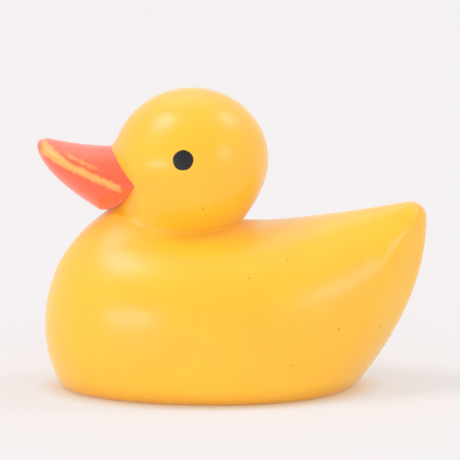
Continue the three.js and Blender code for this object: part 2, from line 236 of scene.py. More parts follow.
@dataclass(frozen=True)
class Body:
    """Breast, back, tail and belly, as a squared half width over the centre plane."""

    tail_x: float = 45.2
    tail_z: float = 39.8
    tail_sweep: float = 47.6
    tail_corner: float = 4.7
    tail_edge: float = 3.5
    tail_ridge: float = 2.6
    back_low_x: float = 7.7
    back_low_z: float = 39.0
    back_rise: float = 4.6
    back_curve: float = 1.3
    shoulder_rise: float = 3.8
    shoulder_reach: float = 40.0
    breast_x: float = -43.7
    breast_z: float = 14.9
    breast_radius: float = 30.4
    breast_depth: float = 36.0
    half_width: float = 25.5
    taper_x: float = -2.3
    widest_z: float = 15.3
    widest_curve: float = 2.6
    flank_drop: float = 2.4
    flank_x: float = 37.0
    flank_turn: float = 4.5
    flank_reach: float = 26.0
    keel_depth: float = 12.4
    keel_ease: float = 4.0
    section_above: float = 2.5
    section_below: float = 3.2
    tail_above: float = 1.35
    tail_below: float = 1.2

    def back_line(self, x: Array) -> Array:
        """Height of the back: a power rise to the tail, a square rise to the shoulder, a round corner.

        Args:
            x: places along the figure.

        Returns:
            The heights.
        """
        corner_x = self.tail_x - self.tail_corner
        behind = np.maximum(x - self.back_low_x, 0.0) / (corner_x - self.back_low_x)
        ahead = np.maximum(self.back_low_x - x, 0.0) / self.shoulder_reach
        over = np.clip(x - corner_x, 0.0, self.tail_corner)
        rise = self.back_rise * behind**self.back_curve + self.shoulder_rise * ahead**2
        return self.back_low_z + rise - self.tail_corner + np.sqrt(self.tail_corner**2 - over**2)

    def under_line(self, x: Array) -> Array:
        """Height of the rear line, a parabola from the tail end that eases into the depth of the keel.

        Args:
            x: places along the figure.

        Returns:
            The heights.
        """
        rear = self.tail_z - np.sqrt(np.maximum(2.0 * self.tail_sweep * (self.tail_x - x), 0.0))
        gap = rear + self.keel_depth
        return (gap + np.sqrt(gap**2 + self.keel_ease**2)) / 2.0 - self.keel_depth

    def breast_line(self, z: Array) -> Array:
        """Place of the breast's front at a height, on an arc."""
        up = np.clip(z - self.breast_z, -self.breast_radius, self.breast_radius)
        return self.breast_x + self.breast_radius - np.sqrt(self.breast_radius**2 - up**2)

    def plan_square(self, x: Array) -> Array:
        """Squared half width seen from above: full ahead of the taper, a cubic to a rounded tail end.

        Args:
            x: places along the figure.

        Returns:
            The squared half widths.
        """
        reach = self.tail_x - self.taper_x
        share = np.clip((self.tail_x - x) / reach, 0.0, 1.0)
        nose = 2.0 * self.tail_edge * reach / self.half_width**2
        return self.half_width**2 * (nose * share * (1.0 - share) ** 2 + share**2 * (3.0 - 2.0 * share))

    def square(self, x: Array, z: Array) -> Array:
        """Squared half width of the body, below zero outside its outline.

        The plan is multiplied by one minus a power of the height's share of the way from the widest
        line to the back or to the rear line, and by a rounding of the breast. The widest line
        climbs by a power to the tail, where it is the tail's ridge, and steps down ahead of it to
        the flank.

        Args:
            x: places along the figure.
            z: heights.

        Returns:
            The squared half widths.
        """
        rear = np.clip(x / self.tail_x, 0.0, 1.0)
        climb = np.clip(x / (self.tail_x - self.tail_ridge), 0.0, 1.0)
        widest = blend(self.widest_z, self.tail_z, climb**self.widest_curve)
        step_x = self.flank_x - self.flank_turn
        run_in = ease(self.flank_x - self.flank_reach, step_x, x)
        run_out = 1.0 - ease(step_x, self.flank_x, x)
        widest = widest - self.flank_drop * run_in * run_out
        above = z >= widest
        reach = np.where(above, self.back_line(x) - widest, widest - self.under_line(x))
        power = np.where(
            above,
            blend(self.section_above, self.tail_above, rear**2),
            blend(self.section_below, self.tail_below, rear**2),
        )
        section = 1.0 - (np.abs(z - widest) / np.maximum(reach, THIN)) ** power
        depth = np.minimum((x - self.breast_line(z)) / self.breast_depth, 1.0)
        front = 2.0 * depth - depth * np.abs(depth)
        both = np.where((section > 0.0) & (front > 0.0), section * front, np.minimum(section, front))
        return np.where(x >= self.tail_x, self.tail_x - x, self.plan_square(x) * both)


@dataclass(frozen=True)
class Head:
    """Ball of the head, a tilted ellipsoid."""

    x: float = -9.6
    z: float = 53.5
    long: float = 18.0
    tall: float = 16.8
    wide: float = 16.6
    tilt: float = 6.0

    def square(self, x: Array, z: Array) -> Array:
        """Squared half width: the square of the width times one minus the ellipse's form."""
        turn = math.radians(self.tilt)
        along = (x - self.x) * math.cos(turn) + (z - self.z) * math.sin(turn)
        across = (z - self.z) * math.cos(turn) - (x - self.x) * math.sin(turn)
        return self.wide**2 * (1.0 - (along / self.long) ** 2 - (across / self.tall) ** 2)


@dataclass(frozen=True)
class Face:
    """Fullness of the head round the root of the bill, an upright ellipsoid."""

    x: float = -17.0
    z: float = 54.0
    long: float = 11.7
    tall: float = 8.0
    wide: float = 12.0
    power: float = 3.0

    def square(self, x: Array, z: Array) -> Array:
        """Squared half width: the square of the width times one minus the ellipse's form."""
        return self.wide**2 * (1.0 - ((x - self.x) / self.long) ** 2 - ((z - self.z) / self.tall) ** 2)

    def joined(self, ball: Array, x: Array, z: Array) -> Array:
        """Ball and face, added as powers where both are inside and the larger one elsewhere.

        Args:
            ball: squared half widths of the ball of the head.
            x: places along the figure.
            z: heights.

        Returns:
            The squared half widths of both.
        """
        face = self.square(x, z)
        both = np.maximum(ball, 0.0) ** self.power + np.maximum(face, 0.0) ** self.power
        return np.where((ball > 0.0) & (face > 0.0), both ** (1.0 / self.power), np.maximum(ball, face))


@dataclass(frozen=True)
class Neck:
    """Oval that widens upwards, with a leaning throat, and fills the corner between body and head."""

    z: float = 40.0
    front: float = -28.5
    rear: float = 2.3
    lean: float = 0.5
    nape_lean: float = 0.45
    tall: float = 12.0
    wide: float = 11.5
    flare: float = 0.45

    def square(self, x: Array, z: Array) -> Array:
        """Squared half width: an ellipse from the throat to the nape, with a fourth power upright.

        Its two ends and its width change evenly with the height.

        Args:
            x: places along the figure.
            z: heights.

        Returns:
            The squared half widths.
        """
        up = np.clip(z - self.z, -self.tall, self.tall)
        rear = self.rear + self.nape_lean * up
        front = self.front + self.lean * up
        along = (2.0 * x - front - rear) / (rear - front)
        return (self.wide + self.flare * up) ** 2 * (1.0 - along**2 - ((z - self.z) / self.tall) ** 4)


@dataclass(frozen=True)
class Bill:
    """Flat pointed bill with a side ridge, as lens sections from the tip into the head."""

    tip_x: float = -45.2
    tip_z: float = 56.8
    root_x: float = -21.0
    half_width: float = 11.0
    round: float = 20.0
    plan: float = 2.4
    drop: float = 2.9
    drop_curve: float = 0.61
    chin: float = 14.6
    corner: float = 23.3
    jaw: float = 3.0
    lip: float = 2.37
    lip_length: float = 3.0
    top_root: float = -0.15
    top_reach: float = 17.0
    ridge_fall: float = 0.43
    ridge_depth: float = 8.0
    ridge_ease: float = 0.8
    section: float = 1.7
    stations: int = 110
    sides: int = 160

    def rings(self) -> Array:
        """Lens sections: cosine times the half width across, a power of the sine from the ridge upright.

        Returns:
            The points, shaped rings by points by three.
        """
        share = np.arange(self.stations + 1) / self.stations
        back = (self.root_x - self.tip_x) * (1.0 - np.cos(math.pi * share / 2.0))
        plan = np.maximum(1.0 - back / self.round, 0.0) ** self.plan
        half = self.half_width * np.sqrt(1.0 - plan)
        lip = np.sqrt(1.0 - np.maximum(1.0 - back / self.lip_length, 0.0) ** 2)
        near = np.maximum(1.0 - back / self.top_reach, 0.0)
        top = lip * blend(self.top_root, self.lip, near**2)
        fall = -self.drop * np.minimum(back, self.chin) ** self.drop_curve
        left = self.ridge_depth - self.ridge_fall * back
        ridge = np.clip((left + np.sqrt(left**2 + self.ridge_ease**2)) / 2.0 - self.ridge_depth, fall, top)
        chin = np.clip((back - self.chin) / (self.corner - self.chin), 0.0, 1.0)
        low = ridge + (fall - ridge) * (1.0 - chin**self.jaw)
        turn = 2.0 * math.pi * np.arange(self.sides) / self.sides
        rise = np.abs(np.sin(turn)) ** (2.0 / self.section)
        reach = np.where(np.sin(turn) < 0.0, (low - ridge)[:, None], (top - ridge)[:, None])
        x = np.broadcast_to((self.tip_x + back)[:, None], reach.shape)
        y = half[:, None] * np.cos(turn)
        z = self.tip_z + ridge[:, None] + reach * rise
        return np.stack([x, y, z], axis=-1)


@dataclass(frozen=True)
class Eye:
    """Round patch of paint on each cheek, a thin closed lens on the skin."""

    x: float = -11.2
    z: float = 56.0
    radius: float = 2.33
    uneven: float = 0.02
    uneven_turn: float = 0.7
    rise: float = 0.05
    rim: float = 14.0
    depth: float = 0.6
    steps: int = 24
    sides: int = 120

    def rings(self, square: Square, side: float) -> Array:
        """Uneven circles that widen from the middle to the rim over the skin, and narrow again under it.

        The radius is uneven by two waves, of two and of five turns. Over the skin a point stands
        out by the rise times one minus a power of its share of the radius. Under it the points lie
        at the depth.

        Args:
            square: squared half width of the skin.
            side: 1 or -1, the side of the figure.

        Returns:
            The points, shaped rings by points by three.
        """
        turn = 2.0 * math.pi * np.arange(self.sides) / self.sides
        waves = np.sin(2.0 * turn + self.uneven_turn) + np.sin(5.0 * turn) / 2.0
        outline = self.radius * (1.0 + self.uneven * waves)
        share = np.sin(math.pi / 2.0 * np.arange(self.steps + 1) / self.steps)
        over = self.rise * (1.0 - share**self.rim)
        share = np.concatenate([share, share[::-1]])
        stand = np.concatenate([over, np.full_like(over, -self.depth)])
        x = self.x + share[:, None] * outline * np.cos(turn)
        z = self.z + share[:, None] * outline * np.sin(turn)
        y = side * (np.sqrt(square(x, z)) + stand[:, None])
        return np.stack([x, y, z], axis=-1)


@dataclass(frozen=True)
class Vent:
    """Moulding vent in the base."""

    x: float = -4.0
    diameter: float = 3.0
    depth: float = 9.0
    below: float = 1.0
    sides: int = 48

    def rings(self) -> Array:
        """Upright cylinder: two circles, from below the base to the vent's depth."""
        turn = 2.0 * math.pi * np.arange(self.sides) / self.sides
        radius = self.diameter / 2.0
        circle = np.stack([self.x + radius * np.cos(turn), radius * np.sin(turn)], axis=-1)
        floor = np.full((self.sides, 1), -self.below)
        roof = np.full((self.sides, 1), self.depth)
        return np.stack([np.hstack([circle, floor]), np.hstack([circle, roof])])


@dataclass
class Duck:
    """The moulded figure: skin, bill, eyes and vent in one closed mesh."""

    body: Body = field(default_factory=Body)
    head: Head = field(default_factory=Head)
    face: Face = field(default_factory=Face)
    neck: Neck = field(default_factory=Neck)
    bill: Bill = field(default_factory=Bill)
    eye: Eye = field(default_factory=Eye)
    vent: Vent = field(default_factory=Vent)
    neck_ease: float = 40.0
    throat_ease: float = 130.0
    throat_x: float = -4.0
    throat_run: float = 26.0
    head_ease: float = 80.0
    collar_sag: float = 2.3
    base_edge: float = 1.6
    edge_limit: float = 35.0
    slope_step: float = 0.05
    crease_reach: float = 130.0
    throat_share: float = 0.15
    nape_clear: float = 1.5
    nape_rise: float = 1.0
    spine: float = 12.0
    tail_rings: int = 44
    heel_rings: int = 30
    toe_rings: int = 44
    breast_rings: int = 70
    head_rings: int = 80
    side_points: int = 110
    edge_steps: int = 7
    sharp_turn: float = 50.0

    @staticmethod
    def eased_max(a: Array, b: Array, span: Array | float) -> Array:
        """The larger of two squared half widths, with a parabola over the span where they are near."""
        near = np.maximum(span - np.abs(a - b), 0.0) / span
        return np.maximum(a, b) + near * near * span / 4.0

    def throat(self, x: Array) -> Array:
        """Share of the throat: 0 from its rear end back and 1 after its run forward."""
        return ease(self.throat_x, self.throat_x - self.throat_run, x)

    def upper_square(self, x: Array, z: Array) -> Array:
        """Squared half width of neck and head, eased together."""
        face = self.face.joined(self.head.square(x, z), x, z)
        return self.eased_max(self.neck.square(x, z), face, self.head_ease)

    def square(self, x: Array, z: Array) -> Array:
        """Squared half width of the skin without its bill: body and neck eased, most at the throat."""
        span = blend(self.neck_ease, self.throat_ease, self.throat(x))
        return self.eased_max(self.body.square(x, z), self.upper_square(x, z), span)

    def pivot(self) -> Array:
        """Point just behind the nape and above the back, about which the rings fan."""
        start = np.array([[self.head.x, self.body.back_low_z + self.nape_rise]])
        way = np.array([[self.head.long + self.nape_clear, 0.0]])
        return last_inside(self.square, start, way)[0] + (self.nape_clear, 0.0)

    def cut_lines(self) -> tuple[Array, Array, Array, Array]:
        """Lines across the side outline: upright from the tail end, fanned at the nape, level to the crown.

        Returns:
            Upper ends and lower ends as rows of x and z, the sag of each line, and whether it
            meets the base.
        """
        body = self.body
        pivot = self.pivot()
        floor = self.base_edge
        heel = last_inside(
            lambda x, _: floor - body.under_line(x),
            pivot[None],
            np.array([[body.tail_x - pivot[0], 0.0]]),
        )[0, 0]
        toe = np.array([float(body.breast_line(np.array(floor))), floor]) - pivot
        toe_turn = math.atan2(-toe[0], -toe[1])
        counts = (self.tail_rings, self.heel_rings, self.toe_rings, self.breast_rings)
        shares = [np.arange(count) / count for count in counts]
        rise = np.arange(self.head_rings + 1) / self.head_rings

        x = np.concatenate(
            [
                blend(body.tail_x, heel, (1.0 - np.cos(math.pi * shares[0])) / 2.0),
                blend(heel, pivot[0], 1.0 - np.cos(math.pi * shares[1] / 2.0)),
            ]
        )
        spine = blend(pivot[1] - self.spine, body.tail_z, (x - pivot[0]) / (body.tail_x - pivot[0]))
        top = np.maximum(pivot[1], body.back_line(x) + self.nape_clear)
        level = np.zeros_like(x)
        start = [np.stack([x, spine], axis=1)]
        up = [np.stack([level, top - spine], axis=1)]
        down = [np.stack([level, level - 2.0 * body.tail_x], axis=1)]
        sag = [level]

        turn = np.concatenate(
            [
                toe_turn * np.sin(math.pi * shares[2] / 2.0),
                blend(toe_turn, math.pi / 2.0, np.sin(math.pi * shares[3] / 2.0)),
            ]
        )
        way = np.stack([-np.sin(turn), -np.cos(turn)], axis=1)
        start.append(pivot + way * self.spine)
        up.append(-way * self.spine)
        down.append(way * 2.0 * body.tail_x)
        sag.append(self.collar_sag * ease(toe_turn, math.pi / 2.0, turn))

        head = np.array([[self.head.x, self.head.z]])
        crown = last_inside(self.square, head, np.array([[0.0, self.head.long]]))[0, 1]
        z = blend(pivot[1], crown, (1.0 - np.cos(math.pi * rise)) / 2.0)
        x = blend(pivot[0] - self.spine, self.head.x, (z - pivot[1]) / (crown - pivot[1]))
        level = np.zeros_like(z)
        start.append(np.stack([x, z], axis=1))
        up.append(np.stack([self.head.x + self.head.long + self.nape_clear - x, level], axis=1))
        down.append(np.stack([level - 2.0 * body.tail_x, level], axis=1))
        sag.append(self.collar_sag * (1.0 - ease(pivot[1], self.head.z, z)))

        begin = np.concatenate(start)
        upper = last_inside(self.square, begin, np.concatenate(up))
        lower = last_inside(self.square, begin, np.concatenate(down))
        number = np.arange(len(begin))
        on_base = (number > self.tail_rings) & (number < self.tail_rings + self.heel_rings + self.toe_rings)
        return upper, lower, np.concatenate(sag), on_base

    def under_turn(self, points: Array) -> Array:
        """Angle by which the skin faces downward at points, from the slope of its squared half width.

        Args:
            points: rows of x, y and z on the skin.

        Returns:
            The angles in radians, from level to the limit.
        """
        x, y, z = points.T
        step = self.slope_step
        along = (self.square(x + step, z) - self.square(x - step, z)) / (2.0 * step)
        upright = (self.square(x, z + step) - self.square(x, z - step)) / (2.0 * step)
        length = np.sqrt(along**2 + 4.0 * y**2 + upright**2)
        limit = math.sin(math.radians(self.edge_limit))
        return np.arcsin(np.clip(upright / np.maximum(length, TINY), 0.0, limit))

    def skin_rings(self) -> Array:
        """Rings of the skin: half widths along each line, a rounded base edge, and their mirror image.

        A point lies at a cosine share of its line, lowered by the sag times the sine of the share.
        The base edge starts in line with the skin and turns inward on an arc, square to the outline
        of the base.

        Returns:
            The points, shaped rings by points by three.
        """
        upper, lower, sag, on_base = self.cut_lines()
        floor = (upper[:, 1] - self.base_edge) / np.maximum(upper[:, 1] - lower[:, 1], THIN)
        lower = np.where(on_base[:, None], upper + (lower - upper) * floor[:, None], lower)
        share = (1.0 - np.cos(math.pi * np.arange(self.side_points + 1) / self.side_points)) / 2.0
        place = upper[:, None] + (lower - upper)[:, None] * share[None, :, None]
        x = place[..., 0]
        z = place[..., 1] - sag[:, None] * np.sin(math.pi * share)
        half = np.sqrt(np.maximum(self.square(x, z), 0.0))
        half[:, 0] = 0.0
        half[~on_base, -1] = 0.0
        side = np.stack([x, half, z], axis=-1)

        edge = side[:, -1]
        run = np.roll(edge, -1, axis=0) - np.roll(edge, 1, axis=0)
        run[:, 2] = 0.0
        run /= np.maximum(np.linalg.norm(run, axis=1, keepdims=True), TINY)
        inward = np.stack([-run[:, 1], run[:, 0], run[:, 2]], axis=1)
        start = self.under_turn(edge)[:, None]
        turn = blend(start, math.pi / 2.0, np.arange(1, self.edge_steps + 1) / self.edge_steps)
        radius = (on_base * self.base_edge)[:, None] / (1.0 - np.sin(start))
        arc = edge[:, None] + (radius * (np.cos(start) - np.cos(turn)))[..., None] * inward[:, None]
        arc[..., 2] -= radius * (np.sin(turn) - np.sin(start))
        side = np.concatenate([side, arc], axis=1)
        other = side[:, :0:-1] * (1.0, -1.0, 1.0)
        return np.concatenate([side, other], axis=1)

    def build(self) -> bpy.types.Object:
        """Skin, joined with the bill and the eyes and opened at the vent, smooth but for its sharp edges.

        Returns:
            The figure's object.
        """
        duck = placed(closed_mesh("vinyl_duck", self.skin_rings(), Coat.VINYL))
        worked(duck, placed(closed_mesh("bill", self.bill.rings(), Coat.BILL)), Cut.JOIN)
        for side in (-1.0, 1.0):
            worked(duck, placed(closed_mesh("eye", self.eye.rings(self.square, side), Coat.EYE)), Cut.JOIN)
        worked(duck, placed(closed_mesh("vent", self.vent.rings(), Coat.VINYL)), Cut.TAKE_AWAY)
        smooth_faces(duck.data, self.sharp_turn)
        self.mark_crease(duck.data)
        return duck

    def mark_crease(self, mesh: bpy.types.Mesh) -> None:
        """Writes how near each vertex is to the neck's crease as an attribute from 0 to 1. The vinyl darkens
        its colour by it as painted shade, and raises its roughness by it.

        It is 1 where body and neck are equally wide, falls to 0 where their squared half widths
        differ by the reach, and is weaker at the throat.

        Args:
            mesh: the mesh, which gets the attribute.
        """
        points = np.empty(len(mesh.vertices) * 3, dtype=np.float32)
        mesh.vertices.foreach_get("co", points)
        x, _, z = (points.reshape(-1, 3) / MM).T
        apart = np.abs(self.body.square(x, z) - self.upper_square(x, z))
        near = (1.0 - ease(0.0, self.crease_reach, apart)) * blend(1.0, self.throat_share, self.throat(x))
        layer = mesh.attributes.new(CREASE, "FLOAT", "POINT")
        layer.data.foreach_set("value", near.astype(np.float32))

    def dress(self, duck: bpy.types.Object, vinyl: VinylFinish, eye: EyePaint, bill: BillPaint) -> None:
        """Gives the figure its vinyl, and the paint of its bill and eyes.

        Args:
            duck: the figure's object.
            vinyl: finish of the skin.
            eye: paint of the eyes.
            bill: paint of the bill.
        """
        duck.data.materials[Coat.VINYL.value] = vinyl.material()
        duck.data.materials[Coat.BILL.value] = bill.material(vinyl, self.bill)
        duck.data.materials[Coat.EYE.value] = eye.material()


class Value:
    """A shader socket that takes part in Python expressions; each operator adds a Math node."""

    def __init__(self, graph: Graph, socket: bpy.types.NodeSocket) -> None:
        """Keeps a socket and the graph that it belongs to."""
        self.graph = graph
        self.socket = socket

    def math(self, operation: str, *operands: Value | float) -> Value:
        """One Math node on the given operands."""
        return self.graph.node("ShaderNodeMath", {"operation": operation}, dict(enumerate(operands)))

    def __add__(self, other: Value | float) -> Value:
        """Sum."""
        return self.math("ADD", self, other)

    def __radd__(self, other: float) -> Value:
        """Sum with a number first."""
        return self.math("ADD", other, self)

    def __sub__(self, other: Value | float) -> Value:
        """Difference."""
        return self.math("SUBTRACT", self, other)

    def __rsub__(self, other: float) -> Value:
        """Difference from a number."""
        return self.math("SUBTRACT", other, self)

    def __mul__(self, other: Value | float) -> Value:
        """Product."""
        return self.math("MULTIPLY", self, other)

    def __rmul__(self, other: float) -> Value:
        """Product with a number first."""
        return self.math("MULTIPLY", other, self)

    def __pow__(self, other: float) -> Value:
        """Power."""
        return self.math("POWER", self, other)

    def __abs__(self) -> Value:
        """Size without sign."""
        return self.math("ABSOLUTE", self)

    def step(self, low: float, high: float) -> Value:
        """Smooth step: 0 at low and 1 at high, in either order."""
        limits = {"Value": self, "From Min": low, "From Max": high}
        return self.graph.node("ShaderNodeMapRange", {"interpolation_type": "SMOOTHSTEP"}, limits)

    def other(self, output: str) -> Value:
        """Another output of the same node."""
        return Value(self.graph, self.socket.node.outputs[output])


class Graph:
    """Node tree of one material, or of the world."""

    def __init__(self, owner: bpy.types.Material | bpy.types.World) -> None:
        """Empties the node tree of a new material or world."""
        self.owner = owner
        owner.use_nodes = True
        self.tree = owner.node_tree
        self.tree.nodes.clear()

    def node(
        self,
        kind: str,
        settings: dict | None = None,
        sockets: dict | None = None,
        output: int | str = 0,
    ) -> Value:
        """Adds a node.

        Args:
            kind: type of the node.
            settings: properties, which are set first.
            sockets: values or links of its inputs, by name or number.
            output: the output that is wanted.

        Returns:
            That output.
        """
        made = self.tree.nodes.new(kind)
        for name, setting in (settings or {}).items():
            setattr(made, name, setting)
        for name, given in (sockets or {}).items():
            if isinstance(given, Value):
                self.tree.links.new(given.socket, made.inputs[name])
            elif isinstance(given, tuple) and made.inputs[name].type == "RGBA":
                made.inputs[name].default_value = (*given, 1.0)
            else:
                made.inputs[name].default_value = given
        return Value(self, made.outputs[output]) if made.outputs else Value(self, None)

    def places(self) -> Value:
        """Object coordinates in millimetres."""
        metres = self.node("ShaderNodeTexCoord", output="Object")
        return self.node("ShaderNodeVectorMath", {"operation": "SCALE"}, {0: metres, "Scale": 1.0 / MM})

    def noise(self, places: Value, size: float, detail: float = 2.0, rough: float = 0.5) -> Value:
        """Noise whose features are about a size in millimetres."""
        sockets = {"Vector": places, "Scale": 1.0 / size, "Detail": detail, "Roughness": rough}
        return self.node("ShaderNodeTexNoise", None, sockets)

    def mix(self, share: Value | float, first: Value | Colour, second: Value | Colour) -> Value:
        """Colour between two others."""
        return self.node("ShaderNodeMix", {"data_type": "RGBA"}, {0: share, 6: first, 7: second}, 2)

    def bump(self, level: Value, strength: float, depth: float) -> Value:
        """Normal over a relief of a depth in metres."""
        return self.node("ShaderNodeBump", None, {"Strength": strength, "Distance": depth, "Height": level})

    def either(self, share: Value, first: Value, second: Value) -> Value:
        """Shader between two others."""
        return self.node("ShaderNodeMixShader", None, {0: share, 1: first, 2: second})

    def close(self, shader: Value) -> bpy.types.Material | bpy.types.World:
        """Puts a shader on the surface of the tree's owner."""
        kind = "World" if isinstance(self.owner, bpy.types.World) else "Material"
        self.node("ShaderNodeOutput" + kind, None, {"Surface": shader})
        return self.owner


@dataclass(frozen=True)
class EyePaint:
    """Black paint of the eyes, faintly rubbed."""

    tone: Colour = (0.010, 0.010, 0.011)
    worn: Colour = (0.030, 0.031, 0.034)
    rub: float = 0.5
    rub_from: float = 0.5
    rub_full: float = 0.8
    roughness: float = 0.42
    roughness_spread: float = 0.3
    index: float = 1.5

    def material(self) -> bpy.types.Material:
        """Material of the eyes.

        Returns:
            The material.
        """
        graph = Graph(bpy.data.materials.new("black_eye_paint"))
        rubbed = graph.noise(graph.places(), self.rub, 3.0)
        shader = graph.node(
            "ShaderNodeBsdfPrincipled",
            None,
            {
                "Base Color": graph.mix(rubbed.step(self.rub_from, self.rub_full), self.tone, self.worn),
                "Roughness": self.roughness + (rubbed - 0.5) * self.roughness_spread,
                "IOR": self.index,
            },
        )
        return graph.close(shader)


@dataclass(frozen=True)
class VinylFinish:
    """Satin yellow vinyl, faintly mottled, with dark specks and pale pits, and painted shade in the neck's
    crease and towards the base.
    """

    tone: Colour = (0.990, 0.562, 0.017)
    warm: Colour = (0.985, 0.540, 0.014)
    # Painted shade: a darker, more orange tone towards the neck's crease.
    painted_crease_shade: Colour = (0.955, 0.445, 0.004)
    # Painted shade: a darker tone towards the base, where the floor shades the vinyl.
    painted_base_shade: Colour = (0.780, 0.360, 0.008)
    crease_shade_share: float = 0.7
    crease_dull: float = 0.28
    # Height over which the painted shade at the base fades out, and its strength.
    base_shade: float = 4.5
    base_shade_strength: float = 0.85
    speck: Colour = (0.40, 0.20, 0.030)
    pit: Colour = (1.0, 0.66, 0.16)
    speck_strength: float = 0.75
    pit_strength: float = 0.6
    mottle: float = 16.0
    mottle_from: float = 0.35
    mottle_full: float = 0.65
    roughness: float = 0.32
    roughness_spread: float = 0.11
    index: float = 1.65
    mirror_tone: Colour = (1.0, 0.52, 0.96)
    bloom: float = 0.4
    bloom_roughness: float = 0.40
    smudge: float = 6.0
    speck_cell: float = 5.2
    speck_share: float = 0.42
    speck_radius: float = 0.40
    speck_core: float = 0.35
    speck_edge: float = 0.01
    speck_shift: Colour = (3.1, 1.7, 5.3)
    pit_shift: Colour = (41.0, 23.0, 9.0)
    lump: float = 4.5
    lump_level: float = 0.8
    grain: float = 0.7
    grain_level: float = 0.06
    relief: float = 0.35
    relief_depth: float = 0.00012
    subsurface: float = 0.25
    scatter: float = 0.0025
    scatter_reach: Colour = (1.0, 0.55, 0.16)

    def dots(self, graph: Graph, places: Value, shift: Colour) -> Value:
        """Sparse round dots: distance to a random point of each cell, in the few cells that are chosen.

        Args:
            graph: the material's graph.
            places: object coordinates in millimetres.
            shift: moves the cells, so that two kinds of dots don't meet.

        Returns:
            The mask.
        """
        moved = graph.node("ShaderNodeVectorMath", {"operation": "ADD"}, {0: places, 1: shift})
        cell = graph.node("ShaderNodeTexVoronoi", None, {"Vector": moved, "Scale": 1.0 / self.speck_cell})
        radius = self.speck_radius / self.speck_cell
        dot = cell.step(radius, radius * self.speck_core)
        draw = graph.node("ShaderNodeSeparateColor", None, {0: cell.other("Color")})
        return dot * draw.step(self.speck_share + self.speck_edge, self.speck_share)

    def material(self) -> bpy.types.Material:
        """Material of the skin.

        Returns:
            The material.
        """
        graph = Graph(bpy.data.materials.new("satin_yellow_vinyl"))
        places = graph.places()
        mottle = graph.noise(places, self.mottle, 3.0).step(self.mottle_from, self.mottle_full)
        tone = graph.mix(mottle, self.tone, self.warm)
        crease = graph.node("ShaderNodeAttribute", {"attribute_name": CREASE}, None, "Fac")
        height = graph.node("ShaderNodeSeparateXYZ", None, {0: places}, "Z")
        # Painted shade: low is 1 at the base and falls to 0 at base_shade millimetres, and the colour darkens
        # by it.
        low = height.step(self.base_shade, 0.0)
        # Painted shade: the colour darkens towards the neck's crease by the crease attribute.
        tone = graph.mix(crease * self.crease_shade_share, tone, self.painted_crease_shade)
        tone = graph.mix(low * self.base_shade_strength, tone, self.painted_base_shade)
        specks = self.dots(graph, places, self.speck_shift) * self.speck_strength
        pits = self.dots(graph, places, self.pit_shift) * self.pit_strength
        tone = graph.mix(pits, graph.mix(specks, tone, self.speck), self.pit)
        smudge = graph.noise(places, self.smudge, 4.0, 0.6)
        rough = self.roughness + (smudge - 0.5) * self.roughness_spread + crease * self.crease_dull
        level = graph.noise(places, self.lump) * self.lump_level
        level = level + graph.noise(places, self.grain) * self.grain_level
        bump = graph.bump(level, self.relief, self.relief_depth)
        shader = graph.node(
            "ShaderNodeBsdfPrincipled",
            {"subsurface_method": "RANDOM_WALK"},
            {
                "Base Color": tone,
                "Roughness": rough,
                "Normal": bump,
                "IOR": self.index,
                "Specular Tint": self.mirror_tone,
                "Sheen Weight": self.bloom,
                "Sheen Roughness": self.bloom_roughness,
                "Subsurface Weight": self.subsurface,
                "Subsurface Radius": self.scatter_reach,
                "Subsurface Scale": self.scatter,
            },
        )
        return graph.close(shader)


